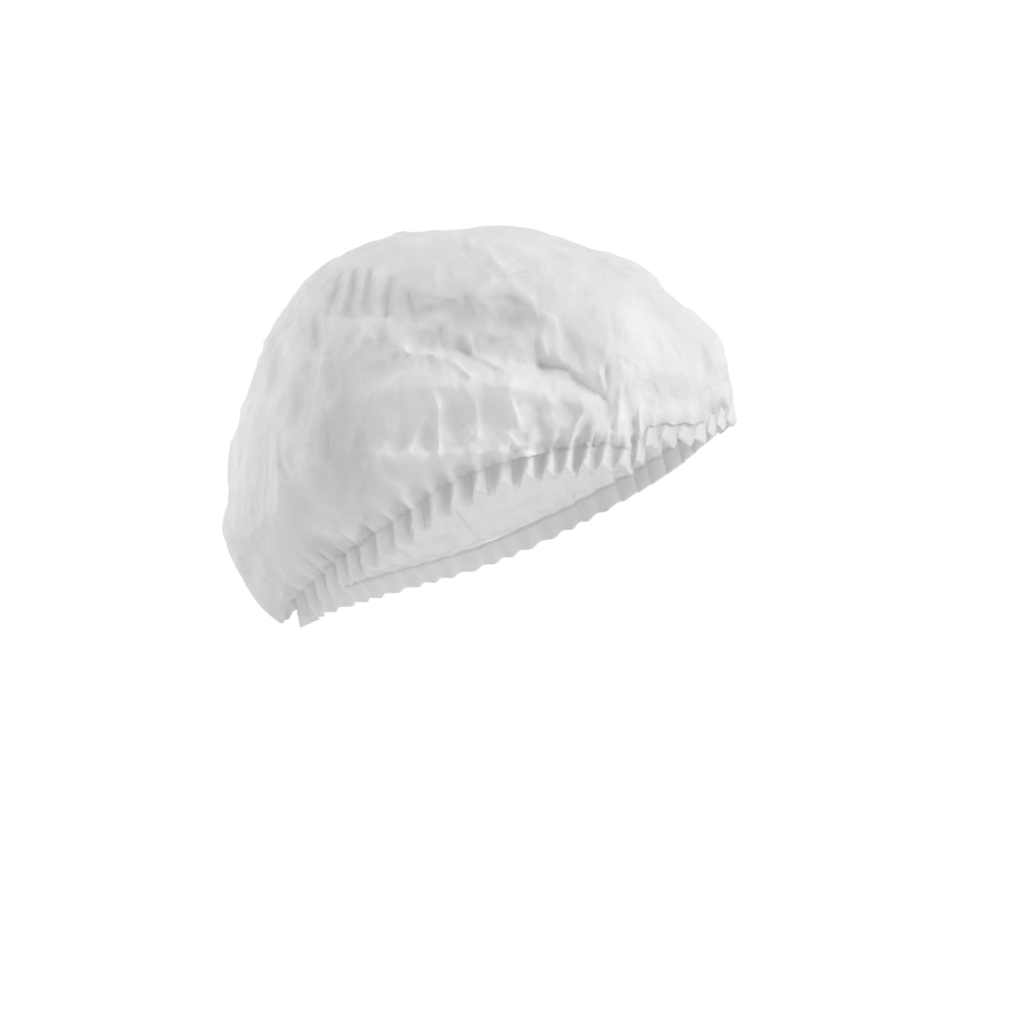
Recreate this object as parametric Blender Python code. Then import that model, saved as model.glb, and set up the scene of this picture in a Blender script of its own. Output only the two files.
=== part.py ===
"""Disposable hair cover cap, opened: a gathered non-woven dome on a hemmed rim.

Metres, +Z up. X runs from tip to tip, -Y is the near side, and the origin is
the centre of the rim opening, where a head goes in.
"""

import math

import bmesh
import bpy
from mathutils import Vector

MM = 0.001

# Driving dimensions
TIP_REACH = 133.0 * MM
RIM_REACH = 95.0 * MM
RIM_PINCH = 1.6
CROWN_RISE = 167.0 * MM
WALL = 1.5 * MM
CLEARANCE = 0.3 * MM

# Hem
HEM_HEIGHT = 13.0 * MM
HEM_THICKNESS = 2.4 * MM

# Gathers and crimps
GATHER_PITCH = 12.0 * MM
GATHER_DEPTH = 2.4 * MM
GATHER_FADE = 34.0 * MM
GATHER_SWELL = 0.7
SWELL_SHARE = 0.15
FAR_GATHER_SHARE = 0.55
TIP_FADE = 16.0 * MM
UNEVEN_SHARE = 0.18
UNEVEN_TURNS = (2.3, 0.9)
CRIMP_DEPTH = 3.0 * MM
CRIMP_FALL = 1.6

# Folds and droop
FOLD_DEPTH = 7.0 * MM
FOLD_WIDTH = 14.0 * MM
FOLD_FOOT = 0.05
FOLD_TIP = 0.2
POUCH_DROOP = 18.0 * MM
DROOP_ROUND = 0.075
DROOP_LOWEST = 0.045
DROOP_FADE = 0.16

# Welded end tabs
TAB_LENGTH = 11.0 * MM
TAB_HEIGHT = 6.5 * MM
TAB_THICKNESS = 2.6 * MM
TAB_CORNER = 1.0 * MM
LEFT_TAB_OVERHANG = 4.5 * MM
RIGHT_TAB_INSET = 2.1 * MM
RIGHT_TAB_FOOT = 3.0 * MM

# Fineness of the outlines
OUTLINE_STEPS = 160
PROFILE_STEPS = 240
ROUND_STEP = 0.004
UP_STEP = 0.012
HIGHEST_UP = 0.985

# Crown sections above the hem: rise is a share of CROWN_RISE, left and right
# are shares of TIP_REACH, near and far are shares of RIM_REACH, and pinch is
# how sharply the section closes at its two tips.
SECTIONS = (
    # rise, left, right, near, far, pinch
    (0.000, 1.030, 1.030, 1.020, 1.020, 1.55),
    (0.040, 1.090, 1.042, 1.070, 1.070, 1.38),
    (0.080, 1.125, 1.055, 1.130, 1.115, 1.28),
    (0.125, 1.155, 1.068, 1.200, 1.165, 1.18),
    (0.200, 1.184, 1.075, 1.260, 1.220, 1.06),
    (0.295, 1.150, 1.035, 1.270, 1.240, 1.00),
    (0.390, 1.090, 0.985, 1.245, 1.220, 1.00),
    (0.505, 1.015, 0.920, 1.185, 1.160, 1.00),
    (0.625, 0.905, 0.790, 1.070, 1.050, 1.00),
    (0.745, 0.790, 0.645, 0.900, 0.880, 1.00),
    (0.850, 0.655, 0.435, 0.700, 0.680, 1.00),
    (0.930, 0.500, 0.210, 0.490, 0.480, 1.00),
    (0.980, 0.330, 0.010, 0.270, 0.260, 1.00),
    (1.000, 0.155, -0.155, 0.000, 0.000, 1.00),
)

# Where the rim hangs below (-) or above (+) its plane, as shares of HEM_HEIGHT.
# Along is a share of TIP_REACH.
NEAR_RIM = (
    # along, lift
    (-1.00, 0.00),
    (-0.80, -0.10),
    (-0.50, -0.05),
    (-0.20, 0.22),
    (0.03, 0.05),
    (0.27, -0.45),
    (0.42, -0.85),
    (0.50, -1.15),
    (0.60, -0.45),
    (0.70, -0.60),
    (0.80, -0.75),
    (0.90, -0.30),
    (1.00, 0.00),
)
FAR_RIM = (
    # along, lift
    (-1.00, 0.00),
    (-0.85, 0.35),
    (-0.58, 0.45),
    (-0.20, 0.25),
    (0.30, 0.20),
    (0.70, 0.12),
    (0.90, 0.25),
    (1.00, 0.00),
)
RIM_LIFT_FADE = 0.32

# Rows of the crown's mesh: up is a share of the way from hem to pole, and
# columns is the number of columns for each gather.
ROWS = (
    # up, columns
    (0.000, 4.0),
    (0.018, 4.0),
    (0.042, 4.0),
    (0.075, 4.0),
    (0.120, 2.0),
    (0.175, 2.0),
    (0.235, 2.0),
    (0.295, 2.0),
    (0.360, 2.0),
    (0.425, 2.0),
    (0.490, 2.0),
    (0.560, 2.0),
    (0.625, 2.0),
    (0.690, 2.0),
    (0.780, 1.0),
    (0.870, 0.5),
    (0.940, 0.5),
)

# Ridges (+) and creases (-). Side is -1 near or 1 far. Positions along are
# shares of TIP_REACH, heights are shares of CROWN_RISE, depth is a share of
# FOLD_DEPTH and width a share of FOLD_WIDTH.
FOLDS = (
    # side, start along, start up, end along, end up, depth, width
    (-1, 0.00, 0.50, 0.34, 0.40, 0.80, 1.0),
    (-1, 0.34, 0.40, 0.66, 0.22, 0.80, 1.0),
    (-1, 0.02, 0.36, 0.33, 0.26, -1.10, 0.9),
    (-1, 0.33, 0.26, 0.56, 0.10, -1.10, 0.9),
    (-1, -0.48, 0.21, -0.02, 0.11, 1.00, 0.9),
    (-1, -0.02, 0.10, 0.34, 0.07, 0.80, 0.8),
    (-1, -0.56, 0.08, -0.22, 0.03, -0.80, 0.8),
    (-1, -0.11, 0.32, -0.20, 0.14, 0.70, 0.8),
    (-1, -0.20, 0.34, -0.36, 0.18, 0.60, 0.8),
    (-1, -0.04, 0.20, 0.08, 0.24, -0.50, 0.9),
    (-1, -0.10, 0.46, 0.08, 0.32, 0.70, 0.8),
    (-1, 0.57, 0.20, 0.54, 0.04, 0.80, 0.7),
    (-1, 0.46, 0.16, 0.43, 0.04, -0.90, 0.7),
    (-1, 0.70, 0.22, 0.70, 0.04, -0.60, 0.8),
    (-1, -0.90, 0.40, -0.66, 0.70, -0.45, 1.2),
    (-1, -0.62, 0.12, -0.85, 0.46, 0.45, 1.2),
    (-1, -0.62, 0.52, -0.18, 0.60, -0.45, 1.2),
    (-1, 0.20, 0.62, 0.72, 0.42, -0.55, 1.1),
    (-1, 0.84, 0.44, 0.94, 0.10, -0.60, 1.0),
    (-1, -0.05, 0.74, 0.30, 0.66, 0.45, 1.1),
    (1, -0.60, 0.40, 0.10, 0.26, -0.55, 1.2),
    (1, -0.05, 0.58, 0.60, 0.40, 0.55, 1.2),
    (1, 0.45, 0.30, 0.50, 0.06, -0.50, 0.9),
    (1, -0.40, 0.74, 0.20, 0.66, -0.45, 1.2),
    (1, -0.75, 0.15, -0.80, 0.45, 0.40, 1.1),
)

# Patches where the gathers' crimps come back higher up: around is a share of
# the way round from the left tip along the near side, up a share of the way
# from hem to pole, then the patch's half sizes, and depth is a share of
# CRIMP_DEPTH.
CRIMPS = (
    # around, up, half around, half up, depth
    (0.230, 0.580, 0.050, 0.075, 1.00),
    (0.150, 0.560, 0.045, 0.080, 0.55),
    (0.320, 0.700, 0.045, 0.060, 0.45),
    (0.375, 0.140, 0.045, 0.100, 0.90),
    (0.455, 0.180, 0.030, 0.140, 0.55),
    (0.060, 0.300, 0.040, 0.150, 0.35),
    (0.700, 0.300, 0.060, 0.120, 0.35),
)


def remove_all():
    """Empty the scene."""
    for obj in list(bpy.data.objects):
        bpy.data.objects.remove(obj, do_unlink=True)


def material(name, colour, roughness):
    """A plain Principled material."""
    mat = bpy.data.materials.new(name)
    mat.use_nodes = True
    shader = mat.node_tree.nodes["Principled BSDF"]
    shader.inputs["Base Color"].default_value = (*colour, 1.0)
    shader.inputs["Roughness"].default_value = roughness
    shader.inputs["Metallic"].default_value = 0.0
    return mat


def smoothstep(value):
    value = min(1.0, max(0.0, value))
    return value * value * (3.0 - 2.0 * value)


def slope(table, row, column):
    """The table's slope at a row, for a smooth curve through its rows."""
    before = max(0, row - 1)
    after = min(len(table) - 1, row + 1)
    return (table[after][column] - table[before][column]) / (table[after][0] - table[before][0])


def along_table(table, key, column):
    """A smooth curve through one column of a table, read at its first column."""
    key = min(table[-1][0], max(table[0][0], key))
    row = 0
    while row < len(table) - 2 and table[row + 1][0] < key:
        row += 1
    span = table[row + 1][0] - table[row][0]
    t = (key - table[row][0]) / span
    start, end = table[row][column], table[row + 1][column]
    rise, fall = slope(table, row, column) * span, slope(table, row + 1, column) * span
    return (
        (2 * t**3 - 3 * t**2 + 1) * start
        + (t**3 - 2 * t**2 + t) * rise
        + (3 * t**2 - 2 * t**3) * end
        + (t**3 - t**2) * fall
    )


def numbered_sections():
    """The sections with their row number in front, so that they blend row by row."""
    return tuple((float(number), *row) for number, row in enumerate(SECTIONS))


NUMBERED = numbered_sections()
LAST_SECTION = float(len(SECTIONS) - 1)


def section_at(level):
    """Rise, left, right, near, far and pinch at a level counted in section rows."""
    return [along_table(NUMBERED, level, column) for column in range(1, 7)]


def up_shares():
    """How far up the wall each level lies, by the length of the mean profile."""
    lengths = [0.0]
    last = None
    for step in range(PROFILE_STEPS + 1):
        rise, left, right, near, far, _ = section_at(LAST_SECTION * step / PROFILE_STEPS)
        reach = ((left + right) * TIP_REACH + (near + far) * RIM_REACH) / 4
        point = Vector((reach, rise * CROWN_RISE))
        if last is not None:
            lengths.append(lengths[-1] + (point - last).length)
        last = point
    return [length / lengths[-1] for length in lengths], lengths[-1]


UP_SHARES, PROFILE_LENGTH = up_shares()


def level_at(up):
    """The level at a share of the way from hem to pole."""
    if up <= 0.0:
        return 0.0
    for step in range(1, len(UP_SHARES)):
        if UP_SHARES[step] >= up:
            span = UP_SHARES[step] - UP_SHARES[step - 1]
            part = (up - UP_SHARES[step - 1]) / span
            return LAST_SECTION * (step - 1 + part) / (len(UP_SHARES) - 1)
    return LAST_SECTION


def half_outline(left, right, near, far, pinch, side):
    """Points from the left tip to the right tip on one side, and their lengths."""
    middle = (right - left) * TIP_REACH / 2
    reach = (right + left) * TIP_REACH / 2
    depth = near * RIM_REACH if side < 0 else far * RIM_REACH
    points, lengths = [], [0.0]
    for step in range(OUTLINE_STEPS + 1):
        angle = math.pi * step / OUTLINE_STEPS
        across = depth * max(0.0, math.sin(angle)) ** pinch
        points.append(Vector((middle - reach * math.cos(angle), side * across, 0.0)))
        if step:
            lengths.append(lengths[-1] + (points[-1] - points[-2]).length)
    return points, lengths


class Ring:
    """A closed horizontal section, read by the share of the way round it."""

    def __init__(self, rise, left, right, near, far, pinch):
        self.rise = rise
        self.near = half_outline(left, right, near, far, pinch, -1)
        self.far = half_outline(left, right, near, far, pinch, 1)

    def at(self, around):
        around = around % 1.0
        points, lengths = self.near if around <= 0.5 else self.far
        share = around * 2 if around <= 0.5 else (1.0 - around) * 2
        goal = share * lengths[-1]
        low, high = 0, len(lengths) - 1
        while high - low > 1:
            centre = (low + high) // 2
            if lengths[centre] <= goal:
                low = centre
            else:
                high = centre
        span = lengths[high] - lengths[low]
        part = (goal - lengths[low]) / span if span > 0 else 0.0
        return points[low].lerp(points[high], part)

    def length(self):
        return self.near[1][-1] + self.far[1][-1]


RIM = Ring(0.0, 1.0, 1.0, 1.0, 1.0, RIM_PINCH)
GATHERS = 2 * round(RIM.length() / 2 / GATHER_PITCH)
COLUMNS = 4 * GATHERS
RINGS = {}


def ring_at(up):
    """The plain section at a share of the way up, kept for reuse."""
    key = round(up, 6)
    if key not in RINGS:
        RINGS[key] = Ring(*section_at(level_at(up)))
    return RINGS[key]


def rim_lift(around):
    """How far the rim hangs above or below its plane."""
    along = RIM.at(around).x / TIP_REACH
    table = NEAR_RIM if around % 1.0 <= 0.5 else FAR_RIM
    return along_table(table, along, 1) * HEM_HEIGHT


def droop(around, up):
    """The crown's pouch hangs down over the left tip."""
    round_tip = min(around % 1.0, 1.0 - around % 1.0)
    near_tip = 1.0 - smoothstep(round_tip / DROOP_ROUND)
    at_foot = smoothstep(up / DROOP_LOWEST) * (1.0 - smoothstep((up - DROOP_LOWEST) / DROOP_FADE))
    return POUCH_DROOP * near_tip * at_foot


def plain_point(around, up):
    """The middle of the crown's wall before gathers and folds."""
    ring = ring_at(up)
    point = ring.at(around)
    lift = rim_lift(around) * (1.0 - smoothstep(up / RIM_LIFT_FADE))
    height = HEM_HEIGHT + CLEARANCE + ring.rise * CROWN_RISE + lift - droop(around, up)
    return Vector((point.x, point.y, height))


def outward(around, up):
    """The direction out of the crown's wall."""
    low, high = max(0.0, up - UP_STEP), min(HIGHEST_UP, up + UP_STEP)
    over = plain_point(around + ROUND_STEP, up) - plain_point(around - ROUND_STEP, up)
    rise = plain_point(around, high) - plain_point(around, low)
    return over.cross(rise).normalized()


def flat_outward(ring, around):
    """The level direction out of a ring."""
    over = ring.at(around + ROUND_STEP) - ring.at(around - ROUND_STEP)
    return Vector((over.y, -over.x, 0.0)).normalized()


def tip_share(around):
    """0 at the tips and 1 away from them, so that the gathers run out there."""
    part = min(around % 0.5, 0.5 - around % 0.5)
    return smoothstep(part * RIM.length() / TIP_FADE)


def wave(column):
    """The gathers' wave at a column: ridge, slope, hollow, slope."""
    number = column // 4
    fast, slow = UNEVEN_TURNS
    uneven = 1.0 - UNEVEN_SHARE * (1.0 - math.sin(fast * number) * math.cos(slow * number))
    return math.cos(math.pi * (column % 4) / 2) * uneven


def gather_depth(around, up):
    """How deep the gathers are here, with the patches of crimps higher up."""
    distance = up * PROFILE_LENGTH
    swell = 1.0 + GATHER_SWELL * smoothstep(distance / (SWELL_SHARE * GATHER_FADE))
    depth = GATHER_DEPTH * swell * (1.0 - smoothstep(distance / GATHER_FADE))
    if around % 1.0 > 0.5:
        depth *= FAR_GATHER_SHARE
    for centre, height, half_round, half_up, share in CRIMPS:
        aside = ((around - centre) / half_round) ** 2 + ((up - height) / half_up) ** 2
        depth += CRIMP_DEPTH * share * math.exp(-CRIMP_FALL * aside)
    return depth * tip_share(around)


def fold_push(point, up):
    """How far the folds push the wall out here."""
    push = 0.0
    side = -1 if point.y < 0 else 1
    foot = smoothstep(up / FOLD_FOOT)
    for fold_side, along0, up0, along1, up1, depth, width in FOLDS:
        if fold_side != side:
            continue
        base = HEM_HEIGHT + CLEARANCE
        start = Vector((along0 * TIP_REACH, base + up0 * CROWN_RISE))
        end = Vector((along1 * TIP_REACH, base + up1 * CROWN_RISE))
        here = Vector((point.x, point.z))
        run = end - start
        part = min(1.0, max(0.0, (here - start).dot(run) / run.length_squared))
        distance = (here - start - part * run).length
        push += depth * FOLD_DEPTH * math.exp(-((distance / (width * FOLD_WIDTH)) ** 2))
    return push * foot * smoothstep(abs(point.y) / (FOLD_TIP * RIM_REACH))


def wall_points(column, up):
    """The outer and inner points of the crown's wall."""
    around = column / COLUMNS
    middle = plain_point(around, up)
    out = outward(around, up) if up > 0 else flat_outward(ring_at(0.0), around)
    push = wave(column) * gather_depth(around, up) + fold_push(middle, up)
    middle = middle + out * push
    return middle + out * WALL / 2, middle - out * WALL / 2


def stitch(mesh, lower, upper):
    """Faces between two rings, where the lower one may have twice the points."""
    count = len(upper)
    if len(lower) == count:
        for i in range(count):
            j = (i + 1) % count
            mesh.faces.new((lower[i], lower[j], upper[j], upper[i]))
        return
    for i in range(count):
        j = (i + 1) % count
        first, middle, last = lower[2 * i], lower[2 * i + 1], lower[(2 * i + 2) % len(lower)]
        mesh.faces.new((first, middle, upper[i]))
        mesh.faces.new((middle, upper[j], upper[i]))
        mesh.faces.new((middle, last, upper[j]))


def finish(mesh, name, mat, sharp_angle):
    """Turn a bmesh into a named object with its faces pointing out."""
    bmesh.ops.recalc_face_normals(mesh, faces=mesh.faces)
    data = bpy.data.meshes.new(name)
    mesh.to_mesh(data)
    mesh.free()
    data.shade_smooth()
    data.set_sharp_from_angle(angle=math.radians(sharp_angle))
    data.materials.append(mat)
    obj = bpy.data.objects.new(name, data)
    bpy.context.scene.collection.objects.link(obj)
    return obj


def make_crown(mat):
    """The dome: an outer and an inner skin joined along the foot."""
    mesh = bmesh.new()
    feet = []
    for side in (0, 1):
        rings = []
        for up, per_gather in ROWS:
            step = round(4 / per_gather)
            points = [wall_points(column, up)[side] for column in range(0, COLUMNS, step)]
            rings.append([mesh.verts.new(point) for point in points])
        for lower, upper in zip(rings, rings[1:]):
            stitch(mesh, lower, upper)
        pole = plain_point(0.0, 1.0)
        pole.z += WALL / 2 if side == 0 else -WALL / 2
        top = mesh.verts.new(pole)
        for i, vert in enumerate(rings[-1]):
            mesh.faces.new((vert, rings[-1][(i + 1) % len(rings[-1])], top))
        feet.append(rings[0])
    stitch(mesh, feet[0], feet[1])
    return finish(mesh, "crown", mat, 60.0)


def hem_points(around, column):
    """The four corners of the hem's section at one place round the rim."""
    shift = wave(column) * gather_depth(around, 0.0)
    lift = rim_lift(around)
    corners = []
    for ring, height in ((RIM, 0.0), (ring_at(0.0), HEM_HEIGHT)):
        out = flat_outward(ring, around)
        middle = ring.at(around) + out * shift
        middle.z = height + lift
        corners.append((middle + out * HEM_THICKNESS / 2, middle - out * HEM_THICKNESS / 2))
    (low_out, low_in), (high_out, high_in) = corners
    return low_out, high_out, high_in, low_in


def make_hem(name, start, mat):
    """One hem, from the left tip to the right tip or back."""
    mesh = bmesh.new()
    half = COLUMNS // 2
    cut = CLEARANCE / 2 / RIM.length()
    sections = []
    for step in range(half + 1):
        column = start + step
        around = column / COLUMNS
        if step == 0:
            around += cut
        if step == half:
            around -= cut
        sections.append([mesh.verts.new(point) for point in hem_points(around, column)])
    for before, after in zip(sections, sections[1:]):
        for i in range(4):
            j = (i + 1) % 4
            mesh.faces.new((before[i], before[j], after[j], after[i]))
    mesh.faces.new(sections[0])
    mesh.faces.new(sections[-1])
    return finish(mesh, name, mat, 50.0)


def make_tab(name, end, foot, mat):
    """The pressed end of the folded sheet, a small plate at one tip."""
    mesh = bmesh.new()
    bmesh.ops.create_cube(mesh, size=1.0)
    size = Vector((TAB_LENGTH, TAB_THICKNESS, TAB_HEIGHT))
    bmesh.ops.scale(mesh, verts=mesh.verts, vec=size)
    upright = [e for e in mesh.edges if abs(e.verts[0].co.y - e.verts[1].co.y) > TAB_THICKNESS / 2]
    lower = [e for e in upright if e.verts[0].co.z < 0]
    bmesh.ops.bevel(mesh, geom=lower, offset=TAB_CORNER, affect="EDGES", segments=2, profile=0.5)
    along = end - math.copysign(TAB_LENGTH / 2, end)
    middle = Vector((along, 0.0, foot + TAB_HEIGHT / 2))
    bmesh.ops.translate(mesh, verts=mesh.verts, vec=middle)
    return finish(mesh, name, mat, 30.0)


def main():
    remove_all()
    cloth = material("crown_nonwoven", (0.88, 0.88, 0.88), 0.85)
    hem_near = material("near_hem_nonwoven", (0.86, 0.86, 0.86), 0.85)
    hem_far = material("far_hem_nonwoven", (0.84, 0.84, 0.84), 0.85)
    left_weld = material("left_weld", (0.82, 0.82, 0.82), 0.60)
    right_weld = material("right_weld", (0.82, 0.82, 0.82), 0.60)
    make_crown(cloth)
    make_hem("hem_near", 0, hem_near)
    make_hem("hem_far", COLUMNS // 2, hem_far)
    tip_end = TIP_REACH + HEM_THICKNESS / 2
    make_tab("end_tab_left", -tip_end - LEFT_TAB_OVERHANG, -CLEARANCE - TAB_HEIGHT, left_weld)
    make_tab("end_tab_right", tip_end - RIGHT_TAB_INSET, RIGHT_TAB_FOOT, right_weld)


if __name__ == "__main__":
    main()
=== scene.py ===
"""Dresses the disposable hair cover cap: crumpled non-woven crown, gathered hems and welded end tabs."""

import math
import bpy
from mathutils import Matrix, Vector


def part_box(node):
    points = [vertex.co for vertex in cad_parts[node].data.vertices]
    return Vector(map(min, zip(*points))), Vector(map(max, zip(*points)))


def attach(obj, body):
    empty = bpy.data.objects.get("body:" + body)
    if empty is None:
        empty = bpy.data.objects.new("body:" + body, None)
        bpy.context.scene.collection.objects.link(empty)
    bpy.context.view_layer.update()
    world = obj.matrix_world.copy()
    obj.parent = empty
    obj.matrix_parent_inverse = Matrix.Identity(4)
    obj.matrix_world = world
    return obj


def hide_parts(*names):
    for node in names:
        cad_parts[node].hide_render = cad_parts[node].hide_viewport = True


bl_info = {
    "name": "Disposable Hair Cover Cap",
    "version": (1, 0, 0),
    "blender": (4, 5, 0),
    "location": "View3D > Sidebar > Hair Cap",
    "description": "Makes the crown, hems and end tabs of an opened non-woven hair cover cap",
    "category": "Add Mesh",
}

import bmesh
import bpy
from bpy.props import FloatProperty, FloatVectorProperty, IntProperty, PointerProperty
from mathutils import Matrix, Vector, noise

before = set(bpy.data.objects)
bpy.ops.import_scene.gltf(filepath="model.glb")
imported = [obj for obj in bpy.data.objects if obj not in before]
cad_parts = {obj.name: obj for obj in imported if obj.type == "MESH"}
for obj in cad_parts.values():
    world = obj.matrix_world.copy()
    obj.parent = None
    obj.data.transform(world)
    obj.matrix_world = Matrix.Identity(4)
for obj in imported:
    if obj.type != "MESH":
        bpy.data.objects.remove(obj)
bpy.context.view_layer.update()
ONLY_BODY = "root"

# Lightness painted into the cloth's colour, from painted shade deep in a hollow to a painted highlight on the
# top of a ridge
SHADE_TONES = (
    # place, share of the cloth's colour
    (0.00, 0.76),
    (0.50, 1.00),
    (1.00, 1.18),
)

# Studio lights seen from the camera
LIGHT_DISTANCE = 1.6
LIGHTS = (
    # name, to the right, up, towards the camera, size in metres, watts
    ("key_light", 1.3, 0.75, 0.55, 0.8, 13.5),
    ("side_light", -1.3, 0.4, -0.2, 0.8, 8.5),
    ("back_light", 0.2, -0.1, -1.2, 1.2, 9.0),
)

# Sizes read from the frame
TAB_BOXES = {name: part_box(name) for name in ("end_tab_left", "end_tab_right")}

# Sizes that the frame's solids are made from
MM = 0.001
TIP_REACH = 133.0 * MM
RIM_REACH = 95.0 * MM
RIM_PINCH = 1.6
CROWN_RISE = 167.0 * MM
CLEARANCE = 0.3 * MM
TIP_FADE = 16.0 * MM
POUCH_DROOP = 18.0 * MM
DROOP_ROUND = 0.075
DROOP_LOWEST = 0.045
DROOP_FADE = 0.16

# Fineness of the outlines
OUTLINE_STEPS = 160
PROFILE_STEPS = 240
ROUND_STEP = 0.004
UP_STEP = 0.012
HIGHEST_UP = 0.985
CLOSE = 1e-9

# How uneven the far and the near gathers are, where a near gather's flank starts
# to rise, and how its back falls
FAR_UNEVEN = 0.6
FAR_TURNS = 1.7
NEAR_UNEVEN = 0.2
NEAR_TURNS = 2.3
FLANK_START = 0.35
BACK_POWER = 1.3

# The crown's puffs over the near hem: their mean, how much the gathers change
# them, how far out they stand, how far up they fade in millimetres, and how much
# lower they hang at the right, from PUFF_TURN on
PUFF_MEAN = 0.6
PUFF_UNEVEN = 0.4
PUFF_OUT = 0.25
PUFF_FADE = 9.0
PUFF_LEFT = 0.7
PUFF_RIGHT = 1.2
PUFF_TURN = 0.42
PUFF_TURN_SPAN = 0.2

# The ledge over the near hem and its sag, in millimetres up the cloth: where each
# starts, how long it rises, where it ends and how long it falls
BULGE = (1.5, 6.0, 9.0, 22.0)
SAG = (2.0, 5.0, 7.0, 14.0)
SAG_SHARE = 0.35

# Painted shade and painted highlight of the gathers: how strong it is, how it runs out upwards, how wide the
# soft edges of the painted dark flank and the painted light ridge are, as shares of a gather, and where it
# starts on the hem, as shares of the hem's height
GATHER_SHADE = 0.8
FAR_GATHER_SHADE = 0.5
FULL_FAR_DEPTH = 3.0
FOOT_START = 0.5
FOOT_HASTE = 2.0
FLANK_HASTE = 1.4
FLANK_NARROWS = 0.5
DARK_EDGES = (0.12, 0.16)
RIDGE_START = 0.10
RIDGE_END = 0.06
RIDGE_EDGES = (0.08, 0.16)
DROP_START = 0.04
DROP_SPAN = 0.35

# The crown's sheet: how much finer its cells are towards the near side and the
# rim, how long it crumples, and over how many cells large moves are evened out
NEAR_FINER = 0.15
RIM_FINER = 1.2
CRUMPLE_FRAMES = 24
EVEN_CELLS = 3

# Where drawn folds and fine creases lie on the crown: folds fade in as the cloth turns to the near side,
# creases are calmer at the right and start above the hem, and how much painted shade and painted light the
# creases put into the cloth's colour
FACING_START = -0.05
FACING_SPAN = 0.35
CALM_SHARE = 0.35
CALM_END = 0.05
CALM_SPAN = 0.10
CREASE_START = 0.018
CREASE_SPAN = 0.02
CREASE_SHADE = 0.3

# Fine creases: how they are drawn out to the right, up and back, how finely and
# how far they wander, how sharp they are, and their mean
CREASE_DRAW = (1.0, 0.45, 0.7)
CREASE_WANDER = (0.4, 0.35)
CREASE_SHARPNESS = 2.4
CREASE_MEAN = 0.9
CREASE_LAYERS = (
    # share, size, zoom
    (1.10, 0.026, 1.0),
    (0.55, 0.013, 1.3),
)

# Drawn folds and panels: how many widths out a fold is reckoned, how sharp its crest and a panel's edge are,
# and how much painted shade darkens a panel
FOLD_MARGIN = 4.5
FOLD_POWER = 1.3
PANEL_POWER = 0.7
PANEL_SHADE = 0.6

# The hems: cells along and round the cloth, how far one stops before its tip, the far one's scallops, how far
# up scallops fade, and the painted shadow along the inner edge
HEM_CELLS = (760, 22)
TIP_CUT = 3.0 * MM
FAR_SCALLOP = 0.4
SCALLOP_FADE = 0.6
INNER_EDGE_SHADE = 0.9

# The welds: edges longer than TAB_CUT are cut, and the tab is pressed thin, ribbed,
# flared towards its foot, stretched, raised and tucked in
TAB_CUT = 2.0 * MM
TAB_CUTS = (15, 7)
TAB_RIBS = 5.0
TAB_THICKNESS = 0.55
TAB_RIB_DEPTH = 0.12
TAB_TOP_WIDTH = 0.78
TAB_FLARE = 0.34
TAB_FLARE_POWER = 1.5
TAB_STRETCH = 1.4
TAB_RAISE = 5.0 * MM
TIP_TUCK = 2.0 * MM
TAB_EDGE = 0.4 * MM

# Finish of each material
FINISHES = {
    # slot: roughness, crease size, crease depth
    "crown_nonwoven": (0.85, 0.016, 1.0),
    "hem_nonwoven": (0.85, 0.009, 0.5),
    "weld_nonwoven": (0.60, 0.004, 0.2),
}

# What the cloth's tone is made of: a base, the painted shade and painted highlight of its folds, and a cloudy
# web; how far its creases are bent, and how deep its bump is
BASE_TONE = 0.42
FOLD_SHADE_SHARE = 0.5
CLOUD_TONE = 0.16
BEND_REACH = 12.0 * MM
BUMP_DEPTH = 2.0 * MM

# The picture that the ridges were drawn on, the height in millimetres at which a ridge's painted highlight is
# as light as it gets, and the attribute that holds the folds' painted shade and painted highlight
PICTURE_POINTS = 1024
FULL_SHADE_HEIGHT = 3.2
SHADE = "fold_shade"
CAMERA_TARGET = Vector((-0.0025, 0.0, 0.0068))

# Crown sections above the hem: rise is a share of CROWN_RISE, left and right
# are shares of TIP_REACH, near and far are shares of RIM_REACH, and pinch is
# how sharply the section closes at its two tips.
SECTIONS = (
    # rise, left, right, near, far, pinch
    (0.000, 1.030, 1.030, 1.020, 1.020, 1.55),
    (0.040, 1.090, 1.042, 1.070, 1.070, 1.38),
    (0.080, 1.125, 1.055, 1.130, 1.115, 1.28),
    (0.125, 1.155, 1.068, 1.200, 1.165, 1.18),
    (0.200, 1.184, 1.075, 1.260, 1.220, 1.06),
    (0.295, 1.150, 1.035, 1.270, 1.240, 1.00),
    (0.390, 1.090, 0.985, 1.245, 1.220, 1.00),
    (0.505, 1.015, 0.920, 1.185, 1.160, 1.00),
    (0.625, 0.905, 0.790, 1.070, 1.050, 1.00),
    (0.745, 0.790, 0.645, 0.900, 0.880, 1.00),
    (0.850, 0.655, 0.435, 0.700, 0.680, 1.00),
    (0.930, 0.500, 0.210, 0.490, 0.480, 1.00),
    (0.980, 0.330, 0.010, 0.270, 0.260, 1.00),
    (1.000, 0.155, -0.155, 0.000, 0.000, 1.00),
)

# Where the rim hangs below (-) or above (+) its plane, as shares of the hem's
# height. Along is a share of TIP_REACH.
NEAR_RIM = (
    # along, lift
    (-1.00, 0.00),
    (-0.80, -0.10),
    (-0.50, -0.05),
    (-0.20, 0.22),
    (0.03, 0.05),
    (0.27, -0.45),
    (0.42, -0.85),
    (0.50, -1.15),
    (0.60, -0.45),
    (0.70, -0.60),
    (0.80, -0.75),
    (0.90, -0.30),
    (1.00, 0.00),
)
FAR_RIM = (
    # along, lift
    (-1.00, 0.00),
    (-0.85, 0.35),
    (-0.58, 0.45),
    (-0.20, 0.25),
    (0.30, 0.20),
    (0.70, 0.12),
    (0.90, 0.25),
    (1.00, 0.00),
)
RIM_LIFT_FADE = 0.32
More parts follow.
